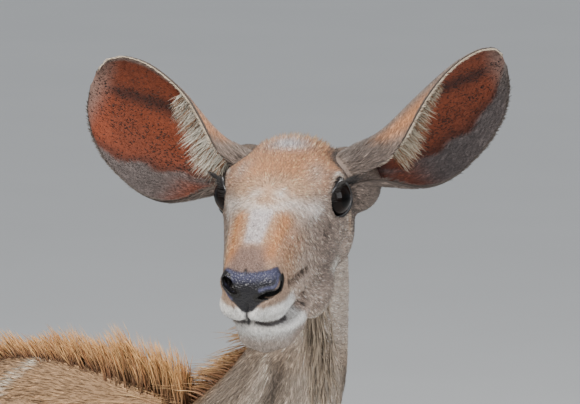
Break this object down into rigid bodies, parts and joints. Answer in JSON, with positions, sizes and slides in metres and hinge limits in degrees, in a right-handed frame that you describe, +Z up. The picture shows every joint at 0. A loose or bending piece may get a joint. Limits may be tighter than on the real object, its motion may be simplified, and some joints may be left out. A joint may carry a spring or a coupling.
{
  "type": "greater kudu cow, life-size standing model",
  "caption": "Standing hornless kudu cow, head turned to its right, large cupped ears spread, with nape mane, withers crest, tufted tail and cloven hooves.",
  "frame": {"origin": "middle of the box, at the level of the soles", "axes": "+X towards the chest, +Y to the animal's left, +Z up"},
  "size_m": [1.6296, 0.4554, 1.6457],
  "materials": {
    "coat": "short grey-fawn hair with thin pale stripes, longer brown and golden hair in the mane",
    "ear": "thin skin with sparse short hair, tan inside and grey-brown outside",
    "eye": "wet and almost black",
    "hoof": "dark horn, slightly worn"
  },
  "bodies": {
    "root": {"head": "coat", "neck": "coat", "torso": "coat", "tail": "coat", "leg_fore_left": "coat", "leg_fore_right": "coat", "leg_hind_left": "coat", "leg_hind_right": "coat", "ear_left": "ear", "ear_right": "ear", "eye_left": "eye", "eye_right": "eye", "hoof_fore_left_inner": "hoof", "hoof_fore_left_outer": "hoof", "hoof_fore_right_inner": "hoof", "hoof_fore_right_outer": "hoof", "hoof_hind_left_inner": "hoof", "hoof_hind_left_outer": "hoof", "hoof_hind_right_inner": "hoof", "hoof_hind_right_outer": "hoof", "dewclaw_fore_left_inner": "hoof", "dewclaw_fore_left_outer": "hoof", "dewclaw_fore_right_inner": "hoof", "dewclaw_fore_right_outer": "hoof", "dewclaw_hind_left_inner": "hoof", "dewclaw_hind_left_outer": "hoof", "dewclaw_hind_right_inner": "hoof", "dewclaw_hind_right_outer": "hoof"}
  },
  "joints": []
}
